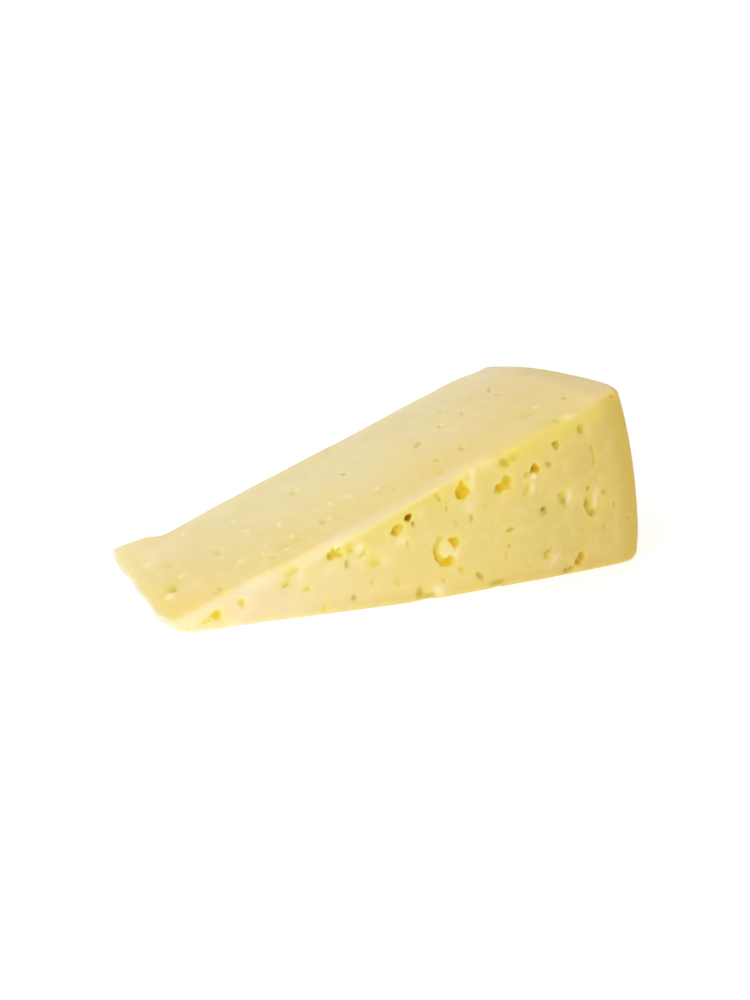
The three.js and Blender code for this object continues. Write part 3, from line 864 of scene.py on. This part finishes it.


# The cut faces and the top: at the thin end, in the middle and at the rim. The top also changes
# from the near side to the far one. The darkening towards the rim is partly the cheese's own
# colour and partly painted shade, for light that falls off away from the lamp at the left. The
# top is paler than the cut faces partly by its own tone and partly by a painted sheen.
CUT_COLOURS = (srgb(229, 221, 203), srgb(227, 209, 133), srgb(208, 183, 93))
TOP_COLOURS = (srgb(238, 224, 156), srgb(251, 227, 163), srgb(244, 216, 148))
TOP_NEAR = srgb(241, 216, 120)
TOP_FAR = srgb(250, 235, 190)
BROAD_COLOUR = srgb(232, 208, 118)
SMALL_COLOUR = srgb(248, 234, 184)
STREAK_PALE = srgb(252, 236, 190)
STREAK_DARK = srgb(232, 206, 124)

# The worn crease: low down its paler wear with a painted highlight, high up a painted shade that
# tones down the lit bevel. The near face under it, and at its foot a painted shade, and the tip.
CREASE_WEAR_AND_HIGHLIGHT = srgb(238, 228, 196)
CREASE_PAINTED_SHADE = srgb(218, 198, 148)
UNDER_COLOUR = srgb(220, 207, 84)
FOOT_SHADE_COLOUR = srgb(200, 180, 112)
TIP_COLOUR = srgb(220, 205, 188)

# The rim, the golden tone of the faces beside it, and the painted shade of the edges that turn to
# the rim.
GOLDEN_CUT = srgb(202, 176, 76)
GOLDEN_TOP = srgb(228, 206, 146)
RIM_EDGE_SHADE = srgb(182, 158, 88)
RIND_COLOURS = (srgb(218, 192, 112), srgb(230, 209, 138))

# Eyes: shallow ones as the cut faces above, and what lies deep in them. The brown one is painted
# shade deep inside some eyes.
SHALLOW_COLOURS = (srgb(232, 222, 118), srgb(226, 210, 92), srgb(212, 184, 74))
DEEP_COLOURS = (srgb(227, 218, 48), srgb(236, 205, 0))
EYE_SHADE_COLOUR = srgb(160, 74, 0)

# Tints by the strength painted on the mesh: its name, how much of it counts, and the colour.
# Lip: yellower round the eyes, partly the cheese's own tone and partly a painted glow of light
# through the thin lips.
LIP_TINT = ("lip", 0.20, srgb(240, 216, 96))
PATCH_TINTS = (
    # Warm patches are in a few eyes painted light.
    ("warm", 0.40, srgb(244, 212, 92)),
    ("green", 0.42, srgb(222, 211, 80)),
    # Pale patches are partly painted highlights.
    ("pale", 0.75, srgb(250, 238, 210)),
)
# The olive tint is partly painted shade in the hollows of eyes.
OLIVE_TINT = ("olive", 0.85, srgb(188, 167, 72))
FLECK_HIGHLIGHT = ("fleck", 1.0, srgb(255, 236, 178))

# Where a colour fades in: the value at which it starts, the value at which it has ended, and
# its strength at each. Along the wedge the values are metres, and otherwise millimetres.
THIN_TO_MIDDLE = (-0.080, -0.005, 0.0, 1.0)
MIDDLE_TO_RIM = (-0.010, 0.078, 0.0, 1.0)
TO_NEAR_SIDE = (46.0, 4.0, 0.0, 0.60)
TO_FAR_SIDE = (40.0, 88.0, 0.0, 0.60)
UNDER_START = (0.1, 2.6, 0.0, 1.0)
UNDER_END = (9.0, 3.5, 0.0, 1.0)
UNDER_SHARE = 0.38
UP_CREASE = (36.0, 41.0, 0.0, 1.0)
TO_FOOT_SHADE = (5.0, 0.0, 0.0, 0.48)
TO_TIP = (2.6, 0.0, 0.0, 0.75)
TO_GOLDEN = (-10.0, -3.0, 0.0, 0.85)
TO_RIM_SHADE = (-2.4, -0.3, 0.0, 0.32)
TO_SHALLOW = (0.05, 0.6, 0.0, 1.0)
TO_DEEP = (0.45, 1.4, 0.0, 1.0)
TO_EYE_SHADE = (0.2, 0.9, 0.0, 1.0)

# The same for how far the skin faces the rim's way or the slope's way, from 0 to 1.
TURN_TO_EDGE_SHADE = (0.15, 0.50, 0.0, 0.32)
TURN_TO_RIND = (0.45, 0.85, 0.0, 0.92)
EYES_ON_SLOPE = (0.0, 1.0, 1.0, 0.45)

# Random spots: size in metres, roughness, and how the noise fades in.
SPOT_DETAIL = 3.0
BROAD_SPOTS = (0.012, 0.5, (0.35, 0.65, 0.0, 0.22))
SMALL_SPOTS = (0.0024, 0.6, (0.42, 0.70, 0.0, 0.12))
RIND_SPOTS = (0.009, 0.6, (0.35, 0.65, 0.0, 1.0))
GLOSS_SPOTS = (0.006, 0.5, (0.3, 0.7, 0.38, 0.52))

# Streaks of the knife across the slope: their stretch, size and roughness.
STREAK_STRETCH = (1.0, 0.22, 1.0)
STREAK_SPOTS = (0.0016, 0.6)
TO_STREAK_PALE = (0.52, 0.74, 0.0, 0.34)
TO_STREAK_DARK = (0.46, 0.26, 0.0, 0.22)

# Fine relief: size, detail, roughness and height, in metres.
GRAIN = (0.0009, 3.0, 0.6, 0.00003)
SWELL = (0.0045, 2.0, 0.5, 0.00014)
RELIEF_STRENGTH = 0.6

# Light goes under the skin: how far by colour channel, and the depth in metres.
CHEESE_IOR = 1.44
GLOW_RADIUS = (1.0, 0.72, 0.22)
GLOW_DEPTH = 0.006


class Shader:
    """A material's node tree, with short calls to add to it."""

    def __init__(self, name):
        self.material = bpy.data.materials.new(name)
        self.material.use_nodes = True
        self.tree = self.material.node_tree
        self.tree.nodes.clear()

    def node(self, kind, inputs=None, **settings):
        made = self.tree.nodes.new(kind)
        for key, value in settings.items():
            setattr(made, key, value)
        for key, value in (inputs or {}).items():
            self.feed(made.inputs[key], value)
        return made

    def feed(self, socket, value):
        if isinstance(value, bpy.types.NodeSocket):
            self.tree.links.new(value, socket)
        else:
            socket.default_value = value

    def attribute(self, name):
        return self.node("ShaderNodeAttribute", attribute_name=name).outputs["Fac"]

    def math(self, operation, a, b=0.0):
        return self.node("ShaderNodeMath", {0: a, 1: b}, operation=operation).outputs[0]

    def times(self, a, b):
        return self.math("MULTIPLY", a, b)

    def fade(self, value, reach):
        """The strength that fades in over a reach: start, end and the strength at each."""
        names = ("From Min", "From Max", "To Min", "To Max")
        inputs = {"Value": value, **dict(zip(names, reach))}
        made = self.node("ShaderNodeMapRange", inputs, interpolation_type="SMOOTHSTEP")
        return made.outputs["Result"]

    def mix(self, factor, a, b):
        made = self.node("ShaderNodeMix", data_type="RGBA", blend_type="MIX")
        self.feed(made.inputs["Factor"], factor)
        self.feed(made.inputs["A"], a)
        self.feed(made.inputs["B"], b)
        return made.outputs["Result"]

    def tint(self, colour, name, share, added):
        """A colour with another added by the strength painted on the mesh."""
        return self.mix(self.times(self.attribute(name), share), colour, added)

    def noise(self, place, size, detail, roughness):
        """Noise whose spots measure about the given size in metres."""
        inputs = {"Vector": place, "Scale": 0.5 / size, "Detail": detail, "Roughness": roughness}
        return self.node("ShaderNodeTexNoise", inputs).outputs["Fac"]

    def spots(self, place, size, roughness, reach):
        return self.fade(self.noise(place, size, SPOT_DETAIL, roughness), reach)

    def relief(self, place, size, detail, roughness, height):
        return self.times(self.noise(place, size, detail, roughness), height)


def body_colour(s, place, thin, thick, slope, inset):
    """Paler at the thin end and on the far side, deeper and more golden at the rim. The darkening
    towards the rim is partly painted shade, and the paler top partly a painted sheen.
    """
    # Darker towards the rim partly by painted shade; the top paler partly by a painted sheen.
    cut = s.mix(thick, s.mix(thin, *CUT_COLOURS[:2]), CUT_COLOURS[2])
    top = s.mix(thick, s.mix(thin, *TOP_COLOURS[:2]), TOP_COLOURS[2])
    top = s.mix(s.fade(inset, TO_NEAR_SIDE), top, TOP_NEAR)
    top = s.mix(s.fade(inset, TO_FAR_SIDE), top, TOP_FAR)
    colour = s.mix(slope, cut, top)
    colour = s.mix(s.spots(place, *BROAD_SPOTS), colour, BROAD_COLOUR)
    colour = s.mix(s.spots(place, *SMALL_SPOTS), colour, SMALL_COLOUR)

    across = s.node("ShaderNodeMapping", {"Vector": place, "Scale": STREAK_STRETCH})
    size, roughness = STREAK_SPOTS
    streaks = s.noise(across.outputs["Vector"], size, SPOT_DETAIL, roughness)
    colour = s.mix(s.times(s.fade(streaks, TO_STREAK_PALE), slope), colour, STREAK_PALE)
    return s.mix(s.times(s.fade(streaks, TO_STREAK_DARK), slope), colour, STREAK_DARK)


def crease_and_foot_colour(s, colour, thin):
    """The worn crease is pale, partly by a painted highlight, and higher up darker by a painted
    shade;
    the near face is deeper yellow in a band below it, and greyed at its foot by painted shade.
    """
    drop = s.attribute("drop")
    height = s.attribute("height")
    under = s.times(s.fade(drop, UNDER_START), s.fade(drop, UNDER_END))
    under = s.times(under, s.times(thin, UNDER_SHARE))
    colour = s.mix(under, colour, UNDER_COLOUR)
    # Pale wear with a painted highlight low on the crease, and a painted shade high up.
    crease_wear_and_light = s.mix(s.fade(height, UP_CREASE), CREASE_WEAR_AND_HIGHLIGHT, CREASE_PAINTED_SHADE)
    colour = s.mix(s.attribute("band"), colour, crease_wear_and_light)
    # Painted shade greys the foot of the near face at the thin end, near the floor.
    colour = s.mix(s.times(s.fade(height, TO_FOOT_SHADE), thin), colour, FOOT_SHADE_COLOUR)
    return s.mix(s.fade(s.attribute("tip"), TO_TIP), colour, TIP_COLOUR)


def rim_colour(s, colour, place, slope):
    """The rim has a thin, darker skin, and the cut faces turn golden a few millimetres in from it.
    The edges that turn to the rim are darkened by painted shade.
    """
    rim = s.attribute("rim")
    rimward = s.attribute("rimward")
    colour = s.mix(s.fade(rim, TO_GOLDEN), colour, s.mix(slope, GOLDEN_CUT, GOLDEN_TOP))
    # Painted shade on the last millimetres before the rim and on the rounded turn to it.
    colour = s.mix(s.fade(rim, TO_RIM_SHADE), colour, RIM_EDGE_SHADE)
    colour = s.mix(s.fade(rimward, TURN_TO_EDGE_SHADE), colour, RIM_EDGE_SHADE)
    rind = s.mix(s.spots(place, *RIND_SPOTS), *RIND_COLOURS)
    return s.mix(s.fade(rimward, TURN_TO_RIND), colour, rind)


def eye_colour(s, colour, thin, thick, slope):
    """Eyes turn yellow and mustard inwards, and brown deep in some by painted shade; patches and
    flecks tint them and the skin, with painted highlights, painted light and painted shade among
    them.
    """
    pit = s.attribute("pit")
    shown = s.fade(slope, EYES_ON_SLOPE)
    shallow = s.mix(thick, s.mix(thin, *SHALLOW_COLOURS[:2]), SHALLOW_COLOURS[2])
    deep = s.mix(thin, *DEEP_COLOURS)
    # Yellow halo round the eyes, partly a painted glow.
    colour = s.tint(colour, *LIP_TINT)
    colour = s.mix(s.times(s.fade(pit, TO_SHALLOW), shown), colour, shallow)
    for tint in PATCH_TINTS:
        colour = s.tint(colour, *tint)
    colour = s.mix(s.times(s.fade(pit, TO_DEEP), shown), colour, deep)
    # Olive tint, partly painted shade in the eyes' hollows.
    colour = s.tint(colour, *OLIVE_TINT)
    # Painted shade deep in the eyes marked dark.
    colour = s.mix(s.times(s.attribute("dark"), s.fade(pit, TO_EYE_SHADE)), colour, EYE_SHADE_COLOUR)
    # Painted highlight on the flecks.
    return s.tint(colour, *FLECK_HIGHLIGHT)


def cheese_material():
    s = Shader("cheese_body")
    place = s.node("ShaderNodeTexCoord").outputs["Object"]
    along = s.node("ShaderNodeSeparateXYZ", {0: place}).outputs["X"]
    thin = s.fade(along, THIN_TO_MIDDLE)
    thick = s.fade(along, MIDDLE_TO_RIM)
    slope = s.attribute("slope")

    colour = body_colour(s, place, thin, thick, slope, s.attribute("inset"))
    colour = crease_and_foot_colour(s, colour, thin)
    colour = rim_colour(s, colour, place, slope)
    colour = eye_colour(s, colour, thin, thick, slope)

    height = s.math("ADD", s.relief(place, *GRAIN), s.relief(place, *SWELL))
    bump = s.node("ShaderNodeBump", {"Strength": RELIEF_STRENGTH, "Distance": 1.0,
                                     "Height": height})
    skin = s.node("ShaderNodeBsdfPrincipled", {
        "Base Color": colour,
        "Roughness": s.spots(place, *GLOSS_SPOTS),
        "IOR": CHEESE_IOR,
        "Subsurface Weight": 1.0,
        "Subsurface Radius": GLOW_RADIUS,
        "Subsurface Scale": GLOW_DEPTH,
        "Normal": bump.outputs["Normal"],
    })
    s.node("ShaderNodeOutputMaterial", {"Surface": skin.outputs["BSDF"]})
    return s.material


def floor_material():
    s = Shader("studio_floor")
    skin = s.node("ShaderNodeBsdfPrincipled", {
        "Base Color": srgb(*FLOOR_COLOUR),
        "Roughness": FLOOR_ROUGHNESS,
        "Specular IOR Level": FLOOR_SHEEN,
        "Emission Color": WHITE,
        "Emission Strength": FLOOR_GLOW,
    })
    s.node("ShaderNodeOutputMaterial", {"Surface": skin.outputs["BSDF"]})
    return s.material


# ----------------------------
# Stage, light and camera. The camera aims at a place in the wheel's frame, in millimetres.

WHITE = (1.0, 1.0, 1.0, 1.0)
FLOOR_SIZE = 8.0
FLOOR_COLOUR = (232, 232, 232)
FLOOR_ROUGHNESS = 0.9
FLOOR_SHEEN = 0.1
FLOOR_GLOW = 0.45
TENT_LIGHT = (1.06, 0.60)
TENT_FADE = (0.12, 0.75)
KEY_PLACE = (-0.34, -0.30, 0.26)
KEY_AIM = (-0.02, 0.0, 0.02)
KEY_SIZE = 0.30
KEY_POWER = 0.75
KEY_COLOUR = (1.0, 0.99, 0.97)
CAMERA_AZIMUTH = math.radians(-23.535)
CAMERA_ELEVATION = math.radians(12.906)
CAMERA_ROLL = math.radians(-1.299)
CAMERA_DISTANCE = 357.75 * MM
CAMERA_LENS = 39.06
CAMERA_SENSOR = 36.0
CAMERA_AIM = (85.27, 41.35, 19.59)


def make_floor():
    half = FLOOR_SIZE / 2
    corners = [(-half, -half, 0), (half, -half, 0), (half, half, 0), (-half, half, 0)]
    mesh = bpy.data.meshes.new("floor")
    mesh.from_pydata(corners, [], [(0, 1, 2, 3)])
    floor = bpy.data.objects.new("floor", mesh)
    bpy.context.collection.objects.link(floor)
    mesh.materials.append(floor_material())


def view_axes():
    """The camera's right, up and backward directions."""
    side = math.cos(CAMERA_ELEVATION)
    back = Vector((math.sin(CAMERA_AZIMUTH) * side, -math.cos(CAMERA_AZIMUTH) * side,
                   math.sin(CAMERA_ELEVATION)))
    level = Vector((math.cos(CAMERA_AZIMUTH), math.sin(CAMERA_AZIMUTH), 0.0))
    rise = back.cross(level)
    right = math.cos(CAMERA_ROLL) * level + math.sin(CAMERA_ROLL) * rise
    up = -math.sin(CAMERA_ROLL) * level + math.cos(CAMERA_ROLL) * rise
    return right, up, back


def make_camera():
    right, up, back = view_axes()
    camera = bpy.data.objects.new("camera", bpy.data.cameras.new("camera"))
    camera.data.lens = CAMERA_LENS
    camera.data.sensor_width = CAMERA_SENSOR
    aim = Vector(CAMERA_AIM) * MM + SHIFT
    place = Matrix((right, up, back)).transposed().to_4x4()
    place.translation = aim + back * CAMERA_DISTANCE
    camera.matrix_world = place
    bpy.context.collection.objects.link(camera)
    bpy.context.scene.camera = camera


def make_lamp():
    light = bpy.data.lights.new("key", "AREA")
    light.shape = "DISK"
    light.size = KEY_SIZE
    light.energy = KEY_POWER
    light.color = KEY_COLOUR
    lamp = bpy.data.objects.new("key", light)
    lamp.location = KEY_PLACE
    aim = Vector(KEY_AIM) - Vector(KEY_PLACE)
    lamp.rotation_euler = aim.to_track_quat("-Z", "Y").to_euler()
    lamp.visible_camera = False
    bpy.context.collection.objects.link(lamp)


def make_light():
    """A white tent all round, dimmer overhead, and one soft lamp at the front left."""
    world = bpy.data.worlds.new("studio")
    world.use_nodes = True
    tree = world.node_tree
    sky = tree.nodes["Background"]
    place = tree.nodes.new("ShaderNodeTexCoord")
    split = tree.nodes.new("ShaderNodeSeparateXYZ")
    fade = tree.nodes.new("ShaderNodeMapRange")
    fade.interpolation_type = "SMOOTHSTEP"
    reach = zip(("From Min", "From Max", "To Min", "To Max"), TENT_FADE + TENT_LIGHT)
    for name, value in reach:
        fade.inputs[name].default_value = value
    tree.links.new(place.outputs["Generated"], split.inputs[0])
    tree.links.new(split.outputs["Z"], fade.inputs["Value"])
    tree.links.new(fade.outputs["Result"], sky.inputs["Strength"])
    sky.inputs["Color"].default_value = WHITE
    bpy.context.scene.world = world
    make_lamp()
    bpy.context.scene.view_settings.view_transform = "Standard"
    bpy.context.scene.view_settings.look = "None"


make_camera()
make_floor()
make_light()

cheese = make_cheese()
cheese.data.materials.append(cheese_material())
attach(cheese, "root")
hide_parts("cheese")
